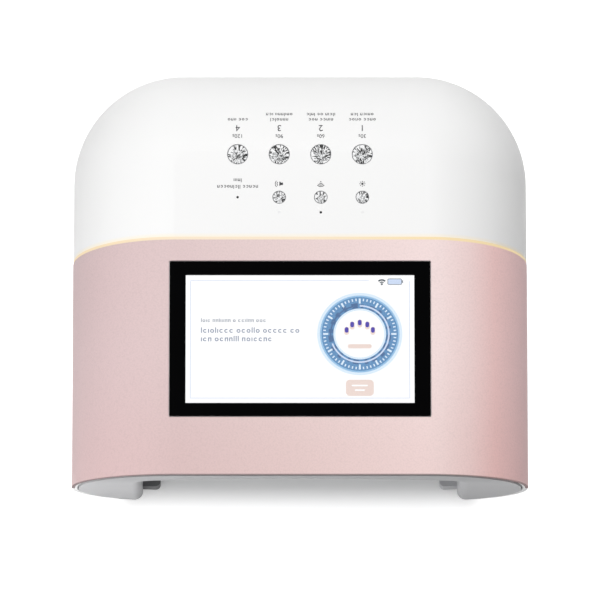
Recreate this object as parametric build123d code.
from build123d import *
from functools import lru_cache
import math
import os

# A loaf-shaped nail lamp: white rear cover with seven crystal keys, pink front console with a display, and
# a wide arched opening for the hand at the front. X runs to the right, Y away from the hand's side, Z up
# from the table. The origin is at the table, under the middle of the lamp. All sizes are in millimetres.
# A setback is a distance behind the front top edge. What a name says is from the rear, from the seam, from
# a side or from the hand space is measured from there, so that it follows when the outer sizes change.

# Outer form
WIDTH = 230.0
DEPTH = 220.0
SHELL_HEIGHT = 100.0
FOOT_HEIGHT = 1.5
TOP_SHOULDER_R = 52.0
LOWER_SHOULDER_R = 46.0
SIDE_FLAT = 2.0
PLAN_CORNER_R = 56.0
FRONT_LEAN_DEG = 6.5
WALL = 2.5

# Seam between the two halves, and the console skin
SEAM_FROM_REAR = 97.5
SEAM_GAP = 1.5
CONSOLE_SKIN = 1.3
CONSOLE_PROUD = 0.25
EDGE_BREAK = 0.4
LAMINATION = 0.05

# Seam collar and light tape
COLLAR_WIDTH = 16.0
COLLAR_THICKNESS = 2.5
TAPE_WIDTH = 10.0
TAPE_THICKNESS = 0.8
COLLAR_DROP = 6.0

# Base frame
PAN_HEIGHT = 7.5
FLOOR_THICKNESS = 3.5
LEDGE_REACH = 9.0
LEDGE_SETBACK = 5.5
LEDGE_CORNER_R = 2.5

# Hand space
LEG_WIDTH = 35.0
ROOF_SPACE = 17.5
OPENING_RISE = 9.0
OPENING_CORNER_R = 9.0
CAVITY_FROM_REAR = 44.0
CAVITY_CORNER_R = 30.0
LINER_WALL = 1.5

# Mouth panel
PANEL_THICKNESS = 2.5
PANEL_PROUD = 0.3
CHASSIS_SETBACK = 1.5
PANEL_GAP = 0.8
LIP_WIDTH = 6.0
LIP_DEPTH = 6.5
LIP_R = 4.5
SKIRT_GAP = 0.1
SKIRT_THICKNESS = 1.6
GROOVE_DEPTH = 1.5
SKIRT_DEPTH = 8.0

# Display
DISPLAY_TO_SEAM = 52.3
DISPLAY_SIDE_MARGIN = 49.35
GLASS_DEPTH = 80.8
GLASS_THICKNESS = 1.5
GLASS_CORNER_R = 0.6
GLASS_GAP = 0.2
SCREEN_EDGE_X = 4.6
SCREEN_EDGE_Y = 3.55
SCREEN_THICKNESS = 3.4
SCREEN_GAP = 1.0
BRACKET_THICKNESS = 1.2
BRACKET_OVERHANG_X = 8.4
BRACKET_OVERHANG_Y = 1.95
BRACKET_WINDOW_MARGIN = 14.0
BRACKET_SCREW_MARGIN_X = 5.0
BRACKET_SCREW_MARGIN_Y = 7.0

# Main board
BOARD_THICKNESS = 1.6
MAIN_BOARD_WIDTH = 112.0
MAIN_BOARD_DEPTH = 66.0
STANDOFF_LENGTH = 4.0
STANDOFF_R = 2.5
STANDOFF_MARGIN = 4.0
SOCKET_HEIGHT = 2.4
RIBBON_WIDTH = 10.0
RIBBON_THICKNESS = 0.3
RIBBON_LENGTH = 24.0
RIBBON_FROM_MIDDLE = 20.0
RIBBON_TAIL = 1.5
CHIP_SIDE_X = 6.0
WIRELESS_WIDTH = 20.0
WIRELESS_DEPTH = 18.0
WIRELESS_BOARD = 0.8
WIRELESS_CAN_HEIGHT = 1.8
WIRELESS_CAN_DEPTH = 11.0
WIRELESS_CAN_MARGIN_X = 3.0
WIRELESS_CAN_MARGIN_Y = 1.0
WIRELESS_FROM_MIDDLE = 8.0

# Keys and pin-head lights, with their rows' distances behind the seam
KEY_PITCH = 20.95
LARGE_KEY_FROM_SEAM = 43.9
SMALL_KEY_FROM_SEAM = 21.4
LIGHT_FROM_SEAM = 13.5
LARGE_KEY_D = 10.2
SMALL_KEY_D = 6.4
KEY_GAP = 0.2
KEY_TRAVEL = 0.6
KEY_BEZEL = 0.15
HOLDER_FLANGE = 1.2
HOLDER_FLANGE_THICKNESS = 1.0
HOLDER_FLOOR = 1.0
HOLDER_STOP_GAP = 0.1
STONE_CLEARANCE = 0.1
CUP_TIP_SHARE = 0.25
STEM_R = 1.6
STEM_CLEARANCE = 0.2
STEM_ENGAGE = 0.9
SWITCH_SIDE = 6.2
SWITCH_HEIGHT = 3.2
SWITCH_WELL_SPARE = 0.7
KEY_BOARD_DROP = 7.6
KEY_BOARD_MARGIN = 9.0
KEY_BOARD_SIDE = 16.0
KEY_POST_R = 3.0
PIPE_R = 0.6
PIPE_GAP = 0.05
PIPE_FOOT_R = 1.3
LIGHT_CHIP_HEIGHT = 0.7
LIGHT_CHIP_SIDE = 1.6

# Cut of the stones, as shares of the stone's diameter, and the angle of the small facets at the table
CROWN_SHARE = 0.16
GIRDLE_SHARE = 0.03
PAVILION_SHARE = 0.43
TABLE_SHARE = 0.285
CULET_SHARE = 0.02
LOWER_FACET_SHARE = 0.065
UPPER_FACET_LIFT = 1.12
STAR_FACET_LIFT = 0.99
STAR_FACET_DEG = 24.0

# Light-emitting diodes round the hand
DIODE_R = 2.3
DIODE_HOLE_R = 2.6
LED_BOARD_GAP = 0.3
CEILING_COLUMNS = 6
CEILING_SIDE_MARGIN = 20.0
CEILING_ROWS = 4
CEILING_FIRST_ROW = 42.0
CEILING_REAR_MARGIN = 20.0
CEILING_BOARD_GAP = 8.0
SENSOR_MARGIN = 4.0
ROW_OVERHANG = 12.0
SIDE_LED_HEIGHT = 47.0
SIDE_BOARD_HEIGHT = 22.0
REAR_LEDS = 4
REAR_LED_PITCH = 24.0

# Sensors in the roof of the hand space
CAMERA_SETBACK = 78.0
CAMERA_SIDE = 9.0
CAMERA_HEIGHT = 4.0
CAMERA_WINDOW_R = 4.0
SENSOR_SETBACK = 58.0
SENSOR_SIDE = 6.0
SENSOR_HEIGHT = 2.0
SENSOR_HOLE_R = 2.0

# Battery behind the hand space
CELL_R = 9.2
BATTERY_SIDE_MARGIN = 49.8
CELL_GAP = 0.3
TRAY_WALL = 1.3
BATTERY_FROM_REAR = 28.0
BATTERY_HEIGHT = 18.0
TRAY_LEG_WIDTH = 12.0
BATTERY_BOARD_WIDTH = 60.0
BATTERY_BOARD_DEPTH = 16.0

# Fasteners
POST_R = 4.2
SCREW_R = 1.3
SCREW_FIT = 0.05
SCREW_PASS = 0.35
SCREW_HEAD_R = 2.6
SCREW_HEAD_HEIGHT = 2.0
HEAD_CLEARANCE = 0.5
POST_GRIP = 9.0
THREAD_LENGTH = 11.0
SIDE_POST_INSET = 15.0
FRONT_POST_SETBACK = 40.0
POST_AHEAD_OF_SEAM = 25.0
POST_BEHIND_SEAM = 27.0
REAR_POST_INSET = 35.0
REAR_POST_FROM_REAR = 28.0
BASE_SCREW_REACH = 8.0
BASE_SCREW_SETBACK = 50.0
BASE_SCREW_FROM_REAR = 80.0
REAR_BASE_SCREW_INSET = 67.0
REAR_BASE_SCREW_FROM_REAR = 31.0
LINER_SCREW_REACH = 5.5
LINER_SCREW_SETBACK = 75.0
LINER_SCREW_FROM_REAR = 105.0
EAR_REACH = 3.0
EAR_WIDTH = 8.0
SMALL_SCREW_R = 1.0

# Feet, speaker and power inlet
FOOT_R = 4.2
FOOT_SEAT = 2.0
FOOT_SETBACK = 28.0
FOOT_INSET = 4.0
REAR_FOOT_INSET = 24.0
REAR_FOOT_FROM_REAR = 41.0
SPEAKER_R = 9.0
SPEAKER_THICKNESS = 4.5
SPEAKER_SPARE = 1.08
SPEAKER_X = -30.0
SPEAKER_BELOW_SPLIT = 12.5
SPEAKER_RIM = 1.4
SPEAKER_HOLE_R = 0.8
INLET_X = 30.0
INLET_BELOW_SPLIT = 10.5
INLET_R = 5.5
INLET_BORE_R = 2.8
INLET_PIN_R = 1.0
INLET_DEPTH = 9.5
INLET_RECESS = 1.0
INLET_GAP = 0.1
INLET_BODY_WIDTH = 13.0
INLET_BODY_DEPTH = 12.0

# Sizes, levels and places that follow from the sizes above
LOWER_R = min(LOWER_SHOULDER_R, SHELL_HEIGHT - TOP_SHOULDER_R - SIDE_FLAT)
OPENING_WIDTH = WIDTH - 2 * LEG_WIDTH
OPENING_SIDE_HEIGHT = SHELL_HEIGHT - ROOF_SPACE - OPENING_RISE
GLASS_WIDTH = WIDTH - 2 * DISPLAY_SIDE_MARGIN
SCREEN_WIDTH = GLASS_WIDTH - 2 * SCREEN_EDGE_X
SCREEN_DEPTH = GLASS_DEPTH - 2 * SCREEN_EDGE_Y
BRACKET_WIDTH = GLASS_WIDTH + 2 * BRACKET_OVERHANG_X
BRACKET_DEPTH = GLASS_DEPTH + 2 * BRACKET_OVERHANG_Y
BASE_Z = FOOT_HEIGHT
TOP_Z = BASE_Z + SHELL_HEIGHT
SPLIT_Z = BASE_Z + (LOWER_R + SHELL_HEIGHT - TOP_SHOULDER_R) / 2
PAN_Z = BASE_Z + PAN_HEIGHT
FLOOR_Z = BASE_Z + FLOOR_THICKNESS
CEILING_Z = TOP_Z - WALL
FRONT_Y = -DEPTH / 2
REAR_Y = DEPTH / 2
SEAM_Y = REAR_Y - SEAM_FROM_REAR
CAVITY_Y = REAR_Y - CAVITY_FROM_REAR
LARGE_KEY_Y = SEAM_Y + LARGE_KEY_FROM_SEAM
SMALL_KEY_Y = SEAM_Y + SMALL_KEY_FROM_SEAM
LIGHT_Y = SEAM_Y + LIGHT_FROM_SEAM
BATTERY_Y = REAR_Y - BATTERY_FROM_REAR
CELL_LENGTH = WIDTH / 2 - BATTERY_SIDE_MARGIN
SIDE_TOP_Z = BASE_Z + OPENING_SIDE_HEIGHT
ARCH_R = ((OPENING_WIDTH / 2) ** 2 + OPENING_RISE**2) / (2 * OPENING_RISE)
ARCH_Z = SIDE_TOP_Z + OPENING_RISE - ARCH_R
GLASS_TOP_Z = TOP_Z + CONSOLE_PROUD
GLASS_BOTTOM_Z = GLASS_TOP_Z - GLASS_THICKNESS
SCREEN_BOTTOM_Z = GLASS_BOTTOM_Z - SCREEN_THICKNESS
BRACKET_TOP_Z = SCREEN_BOTTOM_Z - LAMINATION
BRACKET_Z = BRACKET_TOP_Z - BRACKET_THICKNESS
MAIN_BOARD_TOP_Z = BRACKET_Z - STANDOFF_LENGTH
DISPLAY_Y = SEAM_Y - DISPLAY_TO_SEAM
KEY_BOARD_TOP_Z = CEILING_Z - KEY_BOARD_DROP
STEM_TIP_Z = KEY_BOARD_TOP_Z + SWITCH_HEIGHT - STEM_ENGAGE
WELL_Z = STEM_TIP_Z - KEY_TRAVEL - SWITCH_WELL_SPARE
SPEAKER_Z = SPLIT_Z - SPEAKER_BELOW_SPLIT
INLET_Z = SPLIT_Z - INLET_BELOW_SPLIT
SPEAKER_LOW_Z = SPEAKER_Z - SPEAKER_R - BASE_Z
SPEAKER_CURVE = LOWER_R - math.sqrt(LOWER_R**2 - (LOWER_R - SPEAKER_LOW_Z) ** 2)
SPEAKER_SEAT = WALL + SPEAKER_CURVE + SPEAKER_SPARE
CEILING_COLUMN_PITCH = (OPENING_WIDTH - 2 * CEILING_SIDE_MARGIN) / (CEILING_COLUMNS - 1)
LAST_ROW_Y = CAVITY_Y - CEILING_REAR_MARGIN
CEILING_BOARD_WIDTH = 2 * CEILING_COLUMN_PITCH - CEILING_BOARD_GAP
REACH = DEPTH


def block(x0, x1, y0, y1, z0, z1):
    """A box between two corners."""
    middle = Pos((x0 + x1) / 2, (y0 + y1) / 2, (z0 + z1) / 2)
    return middle * Box(x1 - x0, y1 - y0, z1 - z0)


def rod(x, y, z0, z1, radius):
    """An upright cylinder."""
    return Pos(x, y, (z0 + z1) / 2) * Cylinder(radius, z1 - z0)


def pair(shape):
    """A shape and its mirror image on the other side of the lamp."""
    return [shape, mirror(shape, about=Plane.YZ)]


def joined(shapes):
    """Several solids that don't touch, as one group."""
    solids = [solid for shape in shapes for solid in shape.solids()]
    return Compound(children=solids)


def above(z):
    return block(-REACH, REACH, -REACH, REACH, z, z + REACH)


def below(z):
    return block(-REACH, REACH, -REACH, REACH, z - REACH, z)


def behind(y):
    return block(-REACH, REACH, y, y + REACH, -REACH, REACH)


def ahead(y):
    return block(-REACH, REACH, y - REACH, y, -REACH, REACH)


@lru_cache(maxsize=None)
def loaf(inset):
    """The outer form, drawn in by inset: square in front, round at the shoulders and rear corners."""
    half = WIDTH / 2 - inset
    rear = DEPTH / 2 - inset
    corner = PLAN_CORNER_R - inset
    front = -DEPTH
    plan = Pos(0, (front + rear) / 2) * Rectangle(2 * half, rear - front)
    plan = fillet(plan.vertices().group_by(Axis.Y)[-1], corner)
    form = extrude(Pos(0, 0, BASE_Z + inset) * plan, SHELL_HEIGHT - 2 * inset)
    for face, radius in ((-1, TOP_SHOULDER_R), (0, LOWER_R)):
        level = form.faces().sort_by(Axis.Z)[face]
        edges = [edge for edge in level.edges() if edge.center().Y > front + inset + LAMINATION]
        form = fillet(edges, radius - inset)
    return form


def front_slab(depth_0, depth_1):
    """The space between two planes that lie behind the leaning front face."""
    slab = Pos(0, (depth_0 + depth_1) / 2, 0) * Box(2 * REACH, depth_1 - depth_0, 2 * REACH)
    return Pos(0, FRONT_Y, TOP_Z) * Rot(FRONT_LEAN_DEG, 0, 0) * slab


def round_corner(x):
    """What is cut off a leg to round its inner front corner from top to bottom, as the lip is."""
    outward = math.copysign(LIP_R, x)
    square = Pos(x + outward / 2, LIP_R / 2, 0) * Box(LIP_R, LIP_R, 2 * REACH)
    square -= Pos(x + outward, LIP_R, 0) * Cylinder(LIP_R, 2 * REACH)
    return Pos(0, FRONT_Y, TOP_Z) * Rot(FRONT_LEAN_DEG, 0, 0) * square


def front_plane_y(z, depth=0.0):
    """How far back a plane behind the front face lies at a height."""
    lean = math.radians(FRONT_LEAN_DEG)
    return FRONT_Y + (TOP_Z - z) * math.tan(lean) + depth / math.cos(lean)


@lru_cache(maxsize=None)
def skin(outer, inner):
    """The outer form made hollow, between two insets, cut off at the leaning front face."""
    return loaf(outer) - loaf(inner) - front_slab(-REACH, 0)


def hand_plan(grow, low, high):
    """The hand space's plan with its walls moved out by grow: open in front, round at the rear corners."""
    half = OPENING_WIDTH / 2 + grow
    form = block(-half, half, -DEPTH, CAVITY_Y + grow, low, high)
    return fillet(form.edges().filter_by(Axis.Z).group_by(Axis.Y)[-1], CAVITY_CORNER_R + grow)


@lru_cache(maxsize=None)
def tunnel(grow):
    """The hand space with its walls moved out by grow: straight sides, arched roof, round rear corners."""
    length = CAVITY_Y + grow + DEPTH
    roof = Pos(0, length / 2 - DEPTH, ARCH_Z) * Rot(90, 0, 0) * Cylinder(ARCH_R + grow, length)
    form = hand_plan(grow, -REACH / 4, TOP_Z) & roof
    top = [edge for edge in form.edges() if edge.center().Z > SIDE_TOP_Z - OPENING_RISE]
    top = [edge for edge in top if edge.center().Y > 1 - DEPTH and edge.length > 1]
    return fillet(top, OPENING_CORNER_R + grow)


def on_arch(x):
    """Turns a place at the top of the arch to the column whose distance from the middle is x."""
    angle = math.degrees(math.asin(x / ARCH_R))
    return Pos(0, 0, ARCH_Z) * Rot(0, angle, 0) * Pos(0, 0, ARCH_R)


def frustum(sides, radius_0, radius_1, z0, z1, turn):
    """A pyramid stump with flat sides. The radii are to the middles of the sides."""
    low = RegularPolygon(radius_0, sides, major_radius=False)
    high = RegularPolygon(radius_1, sides, major_radius=False)
    stump = loft([Pos(0, 0, z0) * low, Pos(0, 0, z1) * high], ruled=True)
    return Rot(0, 0, turn) * stump


@lru_cache(maxsize=None)
def brilliant(diameter):
    """A round cut stone, its girdle's top at the origin, with the usual proportions."""
    radius = diameter / 2
    crown = CROWN_SHARE * diameter
    girdle = GIRDLE_SHARE * diameter
    low = -girdle - PAVILION_SHARE * diameter
    table = TABLE_SHARE * diameter
    culet = CULET_SHARE * diameter
    foot = LOWER_FACET_SHARE * diameter
    upper = UPPER_FACET_LIFT * table
    star = STAR_FACET_LIFT * table
    star_foot = table + crown / math.tan(math.radians(STAR_FACET_DEG))
    wide = 3 * radius
    under = rod(0, 0, low, 0, wide)
    over = rod(0, 0, -girdle, crown, wide)
    stone = rod(0, 0, low, crown, radius)
    stone &= frustum(8, radius, table, 0, crown, 0) + frustum(8, wide, radius, low, 0, 0)
    stone &= frustum(16, radius, upper, 0, crown, 11.25) + under
    stone &= frustum(8, star_foot, star, 0, crown, 22.5) + under
    stone &= frustum(8, culet, radius, low, -girdle, 0) + over
    stone &= frustum(16, foot, radius, low, -girdle, 11.25) + over
    return stone


def key_columns():
    """The four columns of keys across the lamp."""
    return [(column - 1.5) * KEY_PITCH for column in range(4)]


def key_places():
    """Each key's place across, its place along, and its diameter: four large keys, then three small."""
    large = [(x, LARGE_KEY_Y, LARGE_KEY_D) for x in key_columns()]
    small = [(x, SMALL_KEY_Y, SMALL_KEY_D) for x in key_columns()[1:]]
    return large + small


def light_places():
    """The pin-head lights: the two dark ones first, then the two pale ones."""
    row = key_columns()
    dark = [(row[0], SMALL_KEY_Y), (row[2], LIGHT_Y)]
    pale = [(row[1], LIGHT_Y), (row[3], LIGHT_Y)]
    return dark, pale


def side_post_places(low=FRONT_Y, high=REAR_Y):
    """Where the posts that join housing and covers stand, between two places along the lamp."""
    side = WIDTH / 2 - SIDE_POST_INSET
    places = [
        (side, FRONT_Y + FRONT_POST_SETBACK),
        (side, SEAM_Y - POST_AHEAD_OF_SEAM),
        (side, SEAM_Y + POST_BEHIND_SEAM),
        (WIDTH / 2 - REAR_POST_INSET, REAR_Y - REAR_POST_FROM_REAR),
    ]
    return [(x, y) for x, y in places if low < y < high]


def base_screw_places():
    side = OPENING_WIDTH / 2 + BASE_SCREW_REACH
    return [
        (side, FRONT_Y + BASE_SCREW_SETBACK),
        (side, REAR_Y - BASE_SCREW_FROM_REAR),
        (WIDTH / 2 - REAR_BASE_SCREW_INSET, REAR_Y - REAR_BASE_SCREW_FROM_REAR),
    ]


def liner_screw_places():
    side = OPENING_WIDTH / 2 + LINER_SCREW_REACH
    return [(side, FRONT_Y + LINER_SCREW_SETBACK), (side, REAR_Y - LINER_SCREW_FROM_REAR)]


def upper_posts(form, low, high):
    """Posts inside a cover, from the split line up to its wall, with blind holes for the screws."""
    for x, y in side_post_places(low, high):
        for post in pair(rod(x, y, SPLIT_Z, TOP_Z, POST_R) & loaf(WALL - LAMINATION)):
            form += post
        for hole in pair(rod(x, y, SPLIT_Z, SPLIT_Z + THREAD_LENGTH + 1, SCREW_R + SCREW_FIT)):
            form -= hole
    return form


def rear_cover():
    """White shell from the seam to the rear, with holes for the keys and the light pipes."""
    half = skin(0, WALL) & above(SPLIT_Z) & behind(SEAM_Y + SEAM_GAP / 2)
    form = upper_posts(half, SEAM_Y, REAR_Y)
    for x, y in key_board_posts():
        form += rod(x, y, KEY_BOARD_TOP_Z, CEILING_Z + LAMINATION, KEY_POST_R)
        form -= rod(x, y, KEY_BOARD_TOP_Z, CEILING_Z - 1, SMALL_SCREW_R + SCREW_FIT)
    for x, y, diameter in key_places():
        form -= rod(x, y, CEILING_Z - 1, TOP_Z + 1, diameter / 2 + KEY_GAP)
        form -= rod(x, y, CEILING_Z - 2, CEILING_Z, diameter / 2 + HOLDER_FLANGE + KEY_GAP)
    dark, pale = light_places()
    for x, y in dark + pale:
        form -= rod(x, y, CEILING_Z - 1, TOP_Z + 1, PIPE_R + PIPE_GAP)
    return form


def front_console():
    """Pink skin over the front half, with a square hole for the display glass."""
    form = skin(-CONSOLE_PROUD, CONSOLE_SKIN) & above(SPLIT_Z) & ahead(SEAM_Y - SEAM_GAP / 2)
    width = GLASS_WIDTH + 2 * GLASS_GAP
    depth = GLASS_DEPTH + 2 * GLASS_GAP
    hole = extrude(RectangleRounded(width, depth, GLASS_CORNER_R + GLASS_GAP), 4 * GLASS_THICKNESS)
    return form - Pos(0, DISPLAY_Y, GLASS_TOP_Z - 3 * GLASS_THICKNESS) * hole


def console_chassis():
    """White shell under the console skin. It seats the glass and carries the bracket's posts.
    Its front edge draws back from the split line up, so that a dark gap shows under the skin's edge."""
    half = skin(CONSOLE_SKIN, WALL) & above(SPLIT_Z) & ahead(SEAM_Y - SEAM_GAP / 2)
    turn = math.degrees(math.atan(CHASSIS_SETBACK / (TOP_Z - SPLIT_Z)))
    cut = Rot(FRONT_LEAN_DEG - turn, 0, 0) * Pos(0, -REACH / 2, 0) * Box(2 * REACH, REACH, 2 * REACH)
    half -= Pos(0, front_plane_y(SPLIT_Z), SPLIT_Z) * cut
    form = upper_posts(half, FRONT_Y, SEAM_Y)
    for x, y in bracket_screw_places():
        form += rod(x, y, BRACKET_TOP_Z, TOP_Z, POST_R) & loaf(WALL - LAMINATION)
        form -= rod(x, y, BRACKET_TOP_Z, CEILING_Z - 1, SMALL_SCREW_R + SCREW_FIT)
    wide = SCREEN_WIDTH / 2 + SCREEN_GAP
    deep = SCREEN_DEPTH / 2 + SCREEN_GAP
    return form - block(-wide, wide, DISPLAY_Y - deep, DISPLAY_Y + deep, CEILING_Z - 3, TOP_Z)


def lower_housing():
    """White shell below the widest line, with posts for the covers' screws and the base's screws."""
    form = skin(0, WALL) & above(PAN_Z) & below(SPLIT_Z)
    inner = loaf(WALL - LAMINATION)
    head_z = SPLIT_Z - POST_GRIP
    for x, y in side_post_places():
        for side in (x, -x):
            form += rod(side, y, PAN_Z, SPLIT_Z, POST_R) & inner
    for x, y in base_screw_places():
        top = PAN_Z + POST_GRIP
        along = (x, WIDTH / 2, y - POST_R / 2, y + POST_R / 2)
        if y > CAVITY_Y:
            along = (x - POST_R / 2, x + POST_R / 2, y, REAR_Y)
        for lug in pair((rod(x, y, PAN_Z, top, POST_R) + block(*along, PAN_Z, top)) & inner):
            form += lug
    for x, y in side_post_places():
        for side in (x, -x):
            form -= rod(side, y, head_z - 1, SPLIT_Z + 1, SCREW_R + SCREW_PASS)
            form -= rod(side, y, 0, head_z, SCREW_HEAD_R + HEAD_CLEARANCE)
    for x, y in base_screw_places():
        for side in (x, -x):
            form -= rod(side, y, 0, PAN_Z + POST_GRIP - 1, SCREW_R + SCREW_FIT)
    hole = on_rear_wall(INLET_X, INLET_Z, 0) * Cylinder(INLET_R + INLET_GAP, 2 * INLET_BODY_DEPTH)
    return speaker_seat(form - hole)


def base_frame():
    """U-shaped bottom with a flat floor, the two ledges inside the opening, and bosses for screws."""
    pan = (loaf(0) & below(PAN_Z)) - (loaf(WALL) & above(FLOOR_Z)) - front_slab(-REACH, 0)
    ledge_x = OPENING_WIDTH / 2 - LEDGE_REACH
    liner_x = OPENING_WIDTH / 2 + LINER_WALL
    leg_y = front_plane_y(BASE_Z)
    ledge_y = leg_y + LEDGE_SETBACK
    panel_back = front_slab(-REACH, SKIRT_DEPTH) & loaf(WALL)
    panel_back -= block(-OPENING_WIDTH / 2, OPENING_WIDTH / 2, -DEPTH, 0, -DEPTH, TOP_Z)
    form = pan
    for ledge in pair(block(ledge_x, liner_x, ledge_y, CAVITY_Y - CAVITY_CORNER_R, BASE_Z, PAN_Z)):
        form += ledge & loaf(0)
    table_gap = hand_plan(-LEDGE_REACH, 0, PAN_Z + 1)
    rear_ledge = hand_plan(LINER_WALL, BASE_Z, PAN_Z) - table_gap
    form += rear_ledge & loaf(0) & behind(CAVITY_Y - CAVITY_CORNER_R - 1)
    form -= table_gap
    half = OPENING_WIDTH / 2
    form -= block(-half, half, -DEPTH, ledge_y, -DEPTH, TOP_Z)
    form -= round_corner(half) + round_corner(-half)
    form -= panel_back
    bosses = [(x, y, POST_R) for x, y in base_screw_places()]
    bosses += [(x, y, 2.5 * SCREW_R) for x, y in liner_screw_places()]
    for x, y, radius in bosses:
        for boss in pair(rod(x, y, BASE_Z, PAN_Z, radius) & loaf(0)):
            form += boss
    return base_frame_holes(form, ledge_y)


def base_frame_holes(form, ledge_y):
    """Rounds the ledges' front corners and cuts the seats for screws and feet."""
    ledge_x = OPENING_WIDTH / 2 - LEDGE_REACH
    corners = [edge for edge in form.edges().filter_by(Axis.Z) if abs(edge.center().Y - ledge_y) < 0.1]
    corners = [edge for edge in corners if abs(abs(edge.center().X) - ledge_x) < 0.1]
    form = fillet(corners, LEDGE_CORNER_R)
    seat_z = PAN_Z - SCREW_HEAD_HEIGHT
    for x, y in base_screw_places():
        for side in (x, -x):
            form -= rod(side, y, -1, PAN_Z + 1, SCREW_R + SCREW_PASS)
            form -= rod(side, y, -1, seat_z, SCREW_HEAD_R + HEAD_CLEARANCE)
    for x, y in liner_screw_places():
        for side in (x, -x):
            form -= rod(side, y, FLOOR_Z + 1, PAN_Z + 1, SMALL_SCREW_R + SCREW_FIT)
    for x, y in foot_places():
        for side in (x, -x):
            form -= rod(side, y, -1, BASE_Z + FOOT_SEAT, FOOT_R)
    return form


def mouth_panel():
    """Light grey panel, a little proud of the rim, with a rolled lip round the opening."""
    edge = WALL + PANEL_GAP
    plate = loaf(edge) & front_slab(-PANEL_PROUD, PANEL_THICKNESS - PANEL_PROUD)
    lip = (tunnel(LIP_WIDTH) & loaf(edge)) & front_slab(-PANEL_PROUD, LIP_DEPTH)
    form = (plate + lip) - tunnel(0)
    rim = []
    for edge_line in form.edges():
        centre = edge_line.center()
        inside = abs(centre.X) < OPENING_WIDTH / 2 + 0.1 and centre.Z < SIDE_TOP_Z + OPENING_RISE + 1
        on_front = abs(centre.Y - front_plane_y(centre.Z, -PANEL_PROUD)) < 0.15
        if inside and on_front and edge_line.length > 2:
            rim.append(edge_line)
    form = fillet(rim, LIP_R)
    ring = loaf(WALL + SKIRT_GAP) - loaf(WALL + SKIRT_GAP + SKIRT_THICKNESS)
    skirt = ring & front_slab(GROOVE_DEPTH, SKIRT_DEPTH) & above(PAN_Z)
    web = (loaf(WALL + SKIRT_GAP + SKIRT_THICKNESS - 0.2) - loaf(edge + SKIRT_THICKNESS))
    web = web & front_slab(GROOVE_DEPTH, PANEL_THICKNESS - PANEL_PROUD) & above(PAN_Z)
    return form + skirt + web


def seam_light_guide():
    """Thin clear guide that fills the seam between the two halves."""
    form = skin(0, WALL) & above(SPLIT_Z)
    return form & behind(SEAM_Y - SEAM_GAP / 2) & ahead(SEAM_Y + SEAM_GAP / 2)


def seam_collar():
    """Ring inside the seam. It joins the two halves and carries the light tape in a channel."""
    low = SPLIT_Z - COLLAR_DROP
    form = (loaf(WALL) - loaf(WALL + COLLAR_THICKNESS)) & above(low)
    form = form & behind(SEAM_Y - COLLAR_WIDTH / 2) & ahead(SEAM_Y + COLLAR_WIDTH / 2)
    channel = loaf(WALL) - loaf(WALL + TAPE_THICKNESS + LAMINATION)
    channel = channel & behind(SEAM_Y - TAPE_WIDTH / 2) & ahead(SEAM_Y + TAPE_WIDTH / 2)
    return form - (channel & above(SPLIT_Z))


def seam_led_tape():
    """Thin light tape that follows the collar under the guide."""
    form = loaf(WALL + LAMINATION) - loaf(WALL + TAPE_THICKNESS + LAMINATION)
    narrow = TAPE_WIDTH / 2 - KEY_GAP
    return form & above(SPLIT_Z + KEY_GAP) & behind(SEAM_Y - narrow) & ahead(SEAM_Y + narrow)


def display_glass():
    """Black-edged cover glass, flush with the console."""
    plan = RectangleRounded(GLASS_WIDTH, GLASS_DEPTH, GLASS_CORNER_R)
    plate = extrude(plan, GLASS_THICKNESS)
    plate = chamfer(plate.faces().sort_by(Axis.Z)[-1].edges(), EDGE_BREAK / 2)
    return Pos(0, DISPLAY_Y, GLASS_BOTTOM_Z) * plate


def display_panel():
    """The screen, bonded under the glass."""
    wide = SCREEN_WIDTH / 2
    deep = SCREEN_DEPTH / 2
    return block(-wide, wide, DISPLAY_Y - deep, DISPLAY_Y + deep, SCREEN_BOTTOM_Z, GLASS_BOTTOM_Z)


def round_display(wide, deep):
    """Four places at the corners of a rectangle round the display's middle."""
    return [(x, DISPLAY_Y + y) for x in (-wide, wide) for y in (-deep, deep)]


def bracket_screw_places():
    wide = BRACKET_WIDTH / 2 - BRACKET_SCREW_MARGIN_X
    deep = BRACKET_DEPTH / 2 - BRACKET_SCREW_MARGIN_Y
    return round_display(wide, deep)


def standoff_places():
    wide = MAIN_BOARD_WIDTH / 2 - STANDOFF_MARGIN
    deep = MAIN_BOARD_DEPTH / 2 - STANDOFF_MARGIN
    return round_display(wide, deep)


def display_bracket():
    """Sheet frame that holds the screen up and carries the main board on four standoffs."""
    wide = BRACKET_WIDTH / 2
    deep = BRACKET_DEPTH / 2
    form = block(-wide, wide, DISPLAY_Y - deep, DISPLAY_Y + deep, BRACKET_Z, BRACKET_TOP_Z)
    inner_x = SCREEN_WIDTH / 2 - BRACKET_WINDOW_MARGIN
    inner_y = SCREEN_DEPTH / 2 - BRACKET_WINDOW_MARGIN
    form -= block(-inner_x, inner_x, DISPLAY_Y - inner_y, DISPLAY_Y + inner_y, 0, TOP_Z)
    form = fillet(form.edges().filter_by(Axis.Z), 3 * BRACKET_THICKNESS)
    for x, y in standoff_places():
        form += rod(x, y, MAIN_BOARD_TOP_Z, BRACKET_Z + LAMINATION, STANDOFF_R)
        form -= rod(x, y, MAIN_BOARD_TOP_Z - 1, BRACKET_TOP_Z + 1, SMALL_SCREW_R + SCREW_FIT)
    for x, y in bracket_screw_places():
        form -= rod(x, y, 0, TOP_Z, SMALL_SCREW_R + SCREW_PASS)
    return form


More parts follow.
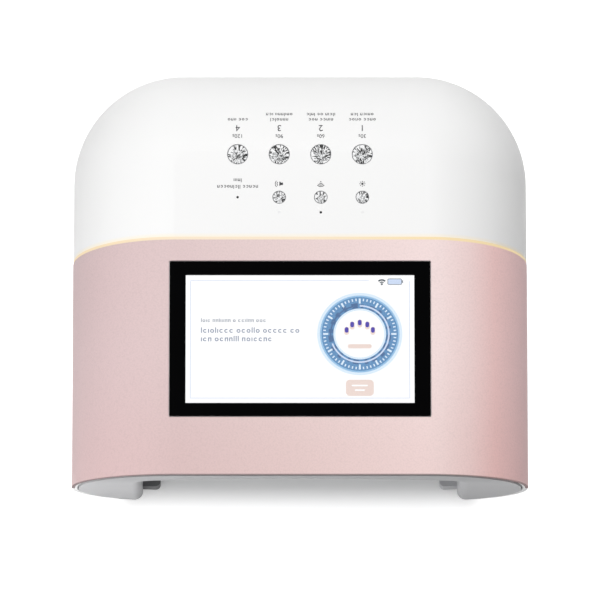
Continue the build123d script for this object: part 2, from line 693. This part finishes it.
def main_board():
    """Control board under the display bracket."""
    wide = MAIN_BOARD_WIDTH / 2
    deep = MAIN_BOARD_DEPTH / 2
    low = MAIN_BOARD_TOP_Z - BOARD_THICKNESS
    form = block(-wide, wide, DISPLAY_Y - deep, DISPLAY_Y + deep, low, MAIN_BOARD_TOP_Z)
    form = fillet(form.edges().filter_by(Axis.Z), 2 * BOARD_THICKNESS)
    for x, y in standoff_places():
        form -= rod(x, y, 0, TOP_Z, SMALL_SCREW_R + SCREW_PASS)
    return form


def main_board_parts():
    """Processor, memory, driver chips, coils and sockets on top of the main board."""
    left = -MAIN_BOARD_WIDTH / 2
    right = MAIN_BOARD_WIDTH / 2
    places = (
        (left + 38, 4, 14, 14, 1.2),
        (2, 4, 11, 9, 1.0),
        (20, 12, 8, 8, 1.6),
        (20, -6, 8, 8, 1.6),
        (right - 20, 6, 10, 10, 2.8),
        (right - 20, -12, 10, 10, 2.8),
        (left + 16, -22, 16, 5, 2.6),
        (0, -RIBBON_FROM_MIDDLE, RIBBON_WIDTH + 4, 4, SOCKET_HEIGHT),
        (18, -26, 12, 4, SOCKET_HEIGHT),
    )
    z = MAIN_BOARD_TOP_Z
    chips = []
    for x, y, wide, deep, high in places:
        y += DISPLAY_Y
        chips.append(block(x - wide / 2, x + wide / 2, y - deep / 2, y + deep / 2, z, z + high))
    return joined(chips)


def wireless_module():
    """Small radio board with its shielding can, on the main board."""
    left = -MAIN_BOARD_WIDTH / 2 + CHIP_SIDE_X
    right = left + WIRELESS_WIDTH
    near = DISPLAY_Y + WIRELESS_FROM_MIDDLE
    level = MAIN_BOARD_TOP_Z + WIRELESS_BOARD
    form = block(left, right, near, near + WIRELESS_DEPTH, MAIN_BOARD_TOP_Z, level)
    left += WIRELESS_CAN_MARGIN_X
    right -= WIRELESS_CAN_MARGIN_X
    near += WIRELESS_CAN_MARGIN_Y
    return form + block(left, right, near, near + WIRELESS_CAN_DEPTH, level, level + WIRELESS_CAN_HEIGHT)


def display_ribbon():
    """Flat cable from the screen's underside down to its socket on the main board."""
    half = RIBBON_WIDTH / 2
    top = SCREEN_BOTTOM_Z
    low = MAIN_BOARD_TOP_Z + SOCKET_HEIGHT
    y = DISPLAY_Y - RIBBON_FROM_MIDDLE
    form = block(-half, half, y, y + RIBBON_LENGTH, top - RIBBON_THICKNESS, top)
    form += block(-half, half, y, y + RIBBON_THICKNESS, low, top)
    return form + block(-half, half, y - RIBBON_TAIL, y + RIBBON_THICKNESS, low, low + RIBBON_THICKNESS)


def key_board_posts():
    reach = key_columns()[-1] + KEY_BOARD_SIDE - KEY_POST_R - 1
    return [(x, y) for x in (-reach, reach) for y in (LIGHT_Y, LARGE_KEY_Y)]


def key_board():
    """Circuit board that carries the key switches under the rear cover."""
    wide = key_columns()[-1] + KEY_BOARD_SIDE
    near = LIGHT_Y - KEY_BOARD_MARGIN
    far = LARGE_KEY_Y + KEY_BOARD_MARGIN
    form = block(-wide, wide, near, far, KEY_BOARD_TOP_Z - BOARD_THICKNESS, KEY_BOARD_TOP_Z)
    form = fillet(form.edges().filter_by(Axis.Z), BOARD_THICKNESS)
    for x, y in key_board_posts():
        form -= rod(x, y, 0, TOP_Z, SMALL_SCREW_R + SCREW_PASS)
    return form


def key_switches():
    """Seven push switches. Each has a well that its key's stem enters."""
    switches = []
    for x, y, diameter in key_places():
        half = SWITCH_SIDE / 2
        top = KEY_BOARD_TOP_Z + SWITCH_HEIGHT
        switch = block(x - half, x + half, y - half, y + half, KEY_BOARD_TOP_Z, top)
        switch = chamfer(switch.edges().filter_by(Axis.Z), EDGE_BREAK)
        switches.append(switch - rod(x, y, WELL_Z, top + 1, STEM_R + STEM_CLEARANCE))
    return joined(switches)


def stone_diameter(diameter):
    return diameter - 2 * KEY_BEZEL


def crystal_key(diameter):
    """Faceted clear stone of a key, its girdle level with the cover."""
    return Pos(0, 0, TOP_Z) * brilliant(stone_diameter(diameter))


def key_holder(diameter):
    """Cup that holds the stone, with a flange that stops under the cover and a stem down to the switch."""
    stone = stone_diameter(diameter)
    girdle = GIRDLE_SHARE * stone
    pavilion = PAVILION_SHARE * stone
    cone_top = TOP_Z - girdle
    floor_z = cone_top - pavilion - STONE_CLEARANCE - HOLDER_FLOOR
    flange_z = CEILING_Z - HOLDER_STOP_GAP
    flange_low = flange_z - HOLDER_FLANGE_THICKNESS
    form = rod(0, 0, floor_z, TOP_Z, diameter / 2)
    form += rod(0, 0, flange_low, flange_z, diameter / 2 + HOLDER_FLANGE)
    form += rod(0, 0, STEM_TIP_Z, flange_z, STEM_R)
    cup_r = stone / 2 + LAMINATION
    cone = Cone(CUP_TIP_SHARE * stone / 2, cup_r, pavilion)
    form -= rod(0, 0, cone_top, TOP_Z + 1, cup_r)
    return form - Pos(0, 0, cone_top - pavilion / 2) * cone


def light_pipes(places):
    """Pin-head light pipes, each with a foot under the cover, down to its light."""
    pipes = []
    low = KEY_BOARD_TOP_Z + LIGHT_CHIP_HEIGHT + LAMINATION
    for x, y in places:
        pipe = rod(x, y, low, TOP_Z, PIPE_R) + rod(x, y, CEILING_Z - 1, CEILING_Z, PIPE_FOOT_R)
        pipes.append(pipe)
    return joined(pipes)


def indicator_leds():
    """Small lights on the key board, one under each pipe."""
    dark, pale = light_places()
    chip = Box(LIGHT_CHIP_SIDE, LIGHT_CHIP_SIDE, LIGHT_CHIP_HEIGHT)
    z = KEY_BOARD_TOP_Z + LIGHT_CHIP_HEIGHT / 2
    return joined([Pos(x, y, z) * chip for x, y in dark + pale])


def ceiling_columns():
    middle = (CEILING_COLUMNS - 1) / 2
    return [(column - middle) * CEILING_COLUMN_PITCH for column in range(CEILING_COLUMNS)]


def ceiling_rows():
    first = FRONT_Y + CEILING_FIRST_ROW
    pitch = (LAST_ROW_Y - first) / (CEILING_ROWS - 1)
    return [first + row * pitch for row in range(CEILING_ROWS)]


def rear_led_places():
    return [(place - (REAR_LEDS - 1) / 2) * REAR_LED_PITCH for place in range(REAR_LEDS)]


def diode(reach):
    """A light-emitting diode that points down the Z axis: a round base and a domed lens."""
    base = Pos(0, 0, -reach / 4) * Cylinder(DIODE_R, reach / 2)
    lens = Pos(0, 0, -reach / 2) * Sphere(DIODE_R, arc_size1=-90, arc_size2=0)
    lens = lens & Pos(0, 0, -reach / 2) * Box(3 * DIODE_R, 3 * DIODE_R, reach)
    return base + lens


def side_turn(side):
    """Points a thing that hangs at the origin inward from the side wall."""
    wall = OPENING_WIDTH / 2 + LINER_WALL + LED_BOARD_GAP
    return Pos(side * wall, 0, SIDE_LED_HEIGHT) * Rot(0, side * 90, 0)


def tunnel_liner():
    """Reflector round the hand, with a round hole for each diode, for the camera and for the sensor."""
    form = tunnel(LINER_WALL) - tunnel(0) - front_slab(-REACH, LIP_DEPTH)
    form = form & above(PAN_Z)
    root = OPENING_WIDTH / 2 + LINER_WALL / 2
    half = EAR_WIDTH / 2
    for x, y in liner_screw_places():
        ear = block(root, x + EAR_REACH, y - half, y + half, PAN_Z, PAN_Z + LINER_WALL)
        for side in pair(ear - rod(x, y, 0, TOP_Z, SMALL_SCREW_R + SCREW_PASS)):
            form += side
    hole = Cylinder(DIODE_HOLE_R, 4 * LINER_WALL)
    for y in ceiling_rows():
        for x in ceiling_columns():
            form -= on_arch(x) * Pos(0, y, 0) * hole
        for side in (-1, 1):
            form -= side_turn(side) * Pos(0, y, 0) * hole
    rear_y = CAVITY_Y + LINER_WALL / 2
    for x in rear_led_places():
        form -= Pos(x, rear_y, SIDE_LED_HEIGHT) * Rot(90, 0, 0) * hole
    roof = (ARCH_Z + ARCH_R - LINER_WALL, ARCH_Z + ARCH_R + 2 * LINER_WALL)
    form -= rod(0, FRONT_Y + CAMERA_SETBACK, *roof, CAMERA_WINDOW_R)
    return form - rod(0, FRONT_Y + SENSOR_SETBACK, *roof, SENSOR_HOLE_R)


def led_board(width, first, last):
    """Aluminium-backed board that hangs over the origin, over the rows between two places."""
    low = first - ROW_OVERHANG
    high = last + ROW_OVERHANG
    board = block(-width / 2, width / 2, low, high, 0, BOARD_THICKNESS)
    return fillet(board.edges().filter_by(Axis.Z), BOARD_THICKNESS)


def ceiling_led_boards():
    """Three boards along the roof, each with two columns of diodes."""
    rows = ceiling_rows()
    columns = ceiling_columns()
    boards = []
    board = Pos(0, 0, LINER_WALL + LED_BOARD_GAP) * led_board(CEILING_BOARD_WIDTH, rows[0], rows[-1])
    for left in range(0, len(columns), 2):
        middle = (columns[left] + columns[left + 1]) / 2
        boards.append(on_arch(middle) * board)
    camera = rod(0, FRONT_Y + CAMERA_SETBACK, 0, TOP_Z, CAMERA_WINDOW_R + SENSOR_MARGIN)
    sensor = rod(0, FRONT_Y + SENSOR_SETBACK, 0, TOP_Z, SENSOR_HOLE_R + SENSOR_MARGIN)
    boards[1] = boards[1] - camera - sensor
    return joined(boards)


def side_led_boards():
    """A board on each side wall, with one row of diodes."""
    rows = ceiling_rows()
    board = led_board(SIDE_BOARD_HEIGHT, rows[0], rows[-1])
    return joined([side_turn(side) * board for side in (-1, 1)])


def rear_led_board():
    """The board behind the hand space."""
    wide = rear_led_places()[-1] + ROW_OVERHANG
    y = CAVITY_Y + LINER_WALL + LED_BOARD_GAP
    low = SIDE_LED_HEIGHT - SIDE_BOARD_HEIGHT / 2
    return block(-wide, wide, y, y + BOARD_THICKNESS, low, low + SIDE_BOARD_HEIGHT)


def diode_groups():
    """The diodes of the roof, of the sides and of the rear."""
    reach = LINER_WALL + LED_BOARD_GAP
    bead = diode(reach)
    rows = ceiling_rows()
    columns = ceiling_columns()
    roof = []
    for left, right in zip(columns[::2], columns[1::2]):
        middle = (left + right) / 2
        for x in (left - middle, right - middle):
            roof += [on_arch(middle) * Pos(x, y, reach) * bead for y in rows]
    sides = [side_turn(side) * Pos(0, y, 0) * bead for side in (-1, 1) for y in rows]
    rear_y = CAVITY_Y + reach
    rear = [Pos(x, rear_y, SIDE_LED_HEIGHT) * Rot(-90, 0, 0) * bead for x in rear_led_places()]
    return joined(roof), joined(sides), joined(rear)


def camera_module():
    """Camera that looks down at the nails from the roof."""
    y = FRONT_Y + CAMERA_SETBACK
    z = ARCH_Z + ARCH_R + LINER_WALL
    half = CAMERA_SIDE / 2
    return block(-half, half, y - half, y + half, z + LAMINATION, z + CAMERA_HEIGHT)


def camera_window():
    """Clear disc in the roof under the camera."""
    y = FRONT_Y + CAMERA_SETBACK
    z = ARCH_Z + ARCH_R
    return rod(0, y, z, z + LINER_WALL, CAMERA_WINDOW_R - SCREW_FIT)


def hand_sensor():
    """Sensor that feels the hand and starts the lamp."""
    y = FRONT_Y + SENSOR_SETBACK
    half = SENSOR_SIDE / 2
    low = ARCH_Z + ARCH_R
    seat = low + LINER_WALL + LAMINATION
    top = low + LINER_WALL + SENSOR_HEIGHT
    form = block(-half, half, y - half, y + half, seat, top)
    return form + rod(0, y, low, (seat + top) / 2, SENSOR_HOLE_R - SCREW_FIT)


def cell_places():
    """Places of the four battery cells: across, and height."""
    across = CELL_LENGTH / 2 + CELL_GAP
    low = BATTERY_HEIGHT + TRAY_WALL + CELL_R + CELL_GAP
    high = low + 2 * CELL_R + CELL_GAP
    return [(x, z) for z in (low, high) for x in (-across, across)]


def battery_cells():
    """Four round cells lying across the lamp."""
    cell = Rot(0, 90, 0) * Cylinder(CELL_R, CELL_LENGTH)
    return joined([Pos(x, BATTERY_Y, z) * cell for x, z in cell_places()])


def battery_tray():
    """Open tray round the cells, on two legs that stand on the base's floor."""
    y = BATTERY_Y
    reach_x = CELL_LENGTH + 2 * CELL_GAP + TRAY_WALL
    reach_y = CELL_R + CELL_GAP + TRAY_WALL
    low = BATTERY_HEIGHT
    top = cell_places()[-1][1]
    form = block(-reach_x, reach_x, y - reach_y, y + reach_y, low, top)
    inner_x = reach_x - TRAY_WALL
    inner_y = reach_y - TRAY_WALL
    form -= block(-inner_x, inner_x, y - inner_y, y + inner_y, low + TRAY_WALL, TOP_Z)
    left = (CELL_LENGTH - TRAY_LEG_WIDTH) / 2
    right = (CELL_LENGTH + TRAY_LEG_WIDTH) / 2
    near = y - reach_y
    leg = block(left, right, near, near + 2 * TRAY_WALL, FLOOR_Z, low)
    for side in pair(leg & loaf(WALL)):
        form += side
    return form


def battery_board():
    """Charging board on top of the cells."""
    z = cell_places()[-1][1] + CELL_R + CELL_GAP
    board = Box(BATTERY_BOARD_WIDTH, BATTERY_BOARD_DEPTH, BOARD_THICKNESS)
    return Pos(0, BATTERY_Y, z + BOARD_THICKNESS / 2) * board


def power_inlet():
    """Round power socket through the rear wall, with its centre pin and the moulded body behind it."""
    place = on_rear_wall(INLET_X, INLET_Z, INLET_RECESS)
    form = place * Pos(0, 0, -WALL) * Cylinder(INLET_R, 2 * WALL)
    half = INLET_BODY_WIDTH / 2
    rear = REAR_Y - WALL
    sides = (INLET_X - half, INLET_X + half)
    body = block(*sides, rear - INLET_BODY_DEPTH, rear, INLET_Z - half, INLET_Z + half)
    form += body & loaf(WALL + INLET_GAP)
    form -= place * Cylinder(INLET_BORE_R, 2 * INLET_DEPTH)
    return form + place * Pos(0, 0, -INLET_DEPTH / 2 - 1) * Cylinder(INLET_PIN_R, INLET_DEPTH)


def on_rear_wall(x, z, depth):
    """Turns a thing that points up the Z axis to point out of the rear, its origin at a depth inside."""
    return Pos(x, REAR_Y - depth, z) * Rot(-90, 0, 0)


def speaker_seat(form):
    """Adds the ring that seats the speaker on the rear wall, and cuts its holes."""
    place = on_rear_wall(SPEAKER_X, SPEAKER_Z, SPEAKER_SEAT)
    middle = place * Pos(0, 0, SPEAKER_SEAT / 2)
    form += middle * Cylinder(SPEAKER_R, SPEAKER_SEAT) & loaf(WALL - LAMINATION)
    form -= middle * Cylinder(SPEAKER_R - SPEAKER_RIM, SPEAKER_SEAT) & loaf(WALL)
    for hole in [Pos(0, 0), *PolarLocations(SPEAKER_R / 2, 6)]:
        form -= place * hole * Cylinder(SPEAKER_HOLE_R, 4 * SPEAKER_SEAT)
    return form


def speaker():
    """Small round speaker behind a ring of holes in the rear wall."""
    place = on_rear_wall(SPEAKER_X, SPEAKER_Z, SPEAKER_SEAT)
    form = Pos(0, 0, -SPEAKER_THICKNESS / 2) * Cylinder(SPEAKER_R, SPEAKER_THICKNESS)
    cone = Pos(0, 0, -SPEAKER_THICKNESS / 4) * Cylinder(0.8 * SPEAKER_R, SPEAKER_THICKNESS / 2)
    return place * (form - cone)


def foot_places():
    half = OPENING_WIDTH / 2
    front = (half - FOOT_INSET, FRONT_Y + FOOT_SETBACK)
    rear = (half - REAR_FOOT_INSET, REAR_Y - REAR_FOOT_FROM_REAR)
    return [front, rear]


def rubber_feet():
    """Four round feet seated in the base."""
    feet = []
    for x, y in foot_places():
        foot = rod(x, y, 0, BASE_Z + FOOT_SEAT, FOOT_R - LAMINATION)
        foot = chamfer(foot.edges().sort_by(Axis.Z)[0], EDGE_BREAK)
        feet += pair(foot)
    return joined(feet)


def screw(x, y, seat_z, length, radius, up=True):
    """A pan-head screw whose head bears on seat_z. It points up or down."""
    way = 1 if up else -1
    head = rod(x, y, *sorted((seat_z, seat_z - way * SCREW_HEAD_HEIGHT)), 2 * radius)
    head = chamfer(head.edges().sort_by(Axis.Z)[0 if up else -1], EDGE_BREAK)
    shank = rod(x, y, *sorted((seat_z, seat_z + way * length)), radius)
    long = 2.4 * radius
    thin = 0.5 * radius
    slot = Box(long, thin, radius) + Box(thin, long, radius)
    return head + shank - Pos(x, y, seat_z - way * SCREW_HEAD_HEIGHT) * slot


def both_sides(places):
    return [(side * x, y) for x, y in places for side in (-1, 1)]


def housing_screws():
    seat = SPLIT_Z - POST_GRIP
    length = POST_GRIP + THREAD_LENGTH
    places = both_sides(side_post_places())
    return joined([screw(x, y, seat, length, SCREW_R) for x, y in places])


def base_screws():
    seat = PAN_Z - SCREW_HEAD_HEIGHT
    length = SCREW_HEAD_HEIGHT + POST_GRIP - 2
    return joined([screw(x, y, seat, length, SCREW_R) for x, y in both_sides(base_screw_places())])


def liner_screws():
    seat = PAN_Z + LINER_WALL
    length = LINER_WALL + PAN_Z - FLOOR_Z - 1.5
    places = both_sides(liner_screw_places())
    return joined([screw(x, y, seat, length, SMALL_SCREW_R, up=False) for x, y in places])


def display_screws():
    """Screws of the bracket into the chassis, and of the main board into the standoffs."""
    length = BRACKET_THICKNESS + 1.0
    screws = [screw(x, y, BRACKET_Z, length, SMALL_SCREW_R) for x, y in bracket_screw_places()]
    seat = MAIN_BOARD_TOP_Z - BOARD_THICKNESS
    length = BOARD_THICKNESS + STANDOFF_LENGTH - 1
    return joined(screws + [screw(x, y, seat, length, SMALL_SCREW_R) for x, y in standoff_places()])


def key_board_screws():
    seat = KEY_BOARD_TOP_Z - BOARD_THICKNESS
    length = BOARD_THICKNESS + KEY_BOARD_DROP - 2
    return joined([screw(x, y, seat, length, SMALL_SCREW_R) for x, y in key_board_posts()])


def sub_parts():
    """Every piece of the lamp by name."""
    roof, sides, rear = diode_groups()
    dark, pale = light_places()
    parts = {
        "rear_cover": rear_cover(),
        "front_console": front_console(),
        "console_chassis": console_chassis(),
        "lower_housing": lower_housing(),
        "base_frame": base_frame(),
        "mouth_panel": mouth_panel(),
        "tunnel_liner": tunnel_liner(),
        "seam_light_guide": seam_light_guide(),
        "seam_collar": seam_collar(),
        "seam_led_tape": seam_led_tape(),
        "display_glass": display_glass(),
        "display_panel": display_panel(),
        "display_bracket": display_bracket(),
        "display_ribbon": display_ribbon(),
        "main_board": main_board(),
        "main_board_parts": main_board_parts(),
        "wireless_module": wireless_module(),
        "key_board": key_board(),
        "key_switches": key_switches(),
        "indicator_leds": indicator_leds(),
        "indicator_pipes_dark": light_pipes(dark),
        "indicator_pipes_pale": light_pipes(pale),
        "ceiling_led_boards": ceiling_led_boards(),
        "side_led_boards": side_led_boards(),
        "rear_led_board": rear_led_board(),
        "ceiling_diodes": roof,
        "side_diodes": sides,
        "rear_diodes": rear,
        "camera_module": camera_module(),
        "camera_window": camera_window(),
        "hand_sensor": hand_sensor(),
        "battery_cells": battery_cells(),
        "battery_tray": battery_tray(),
        "battery_board": battery_board(),
        "power_inlet": power_inlet(),
        "speaker": speaker(),
        "rubber_feet": rubber_feet(),
        "housing_screws": housing_screws(),
        "base_screws": base_screws(),
        "liner_screws": liner_screws(),
        "display_screws": display_screws(),
        "key_board_screws": key_board_screws(),
    }
    for number, (x, y, diameter) in enumerate(key_places(), start=1):
        parts[f"crystal_key_{number}"] = Pos(x, y, 0) * crystal_key(diameter)
        parts[f"key_holder_{number}"] = Pos(x, y, 0) * key_holder(diameter)
    return parts


os.makedirs("parts", exist_ok=True)
for name, shape in sub_parts().items():
    export_step(shape, f"parts/{name}.step")
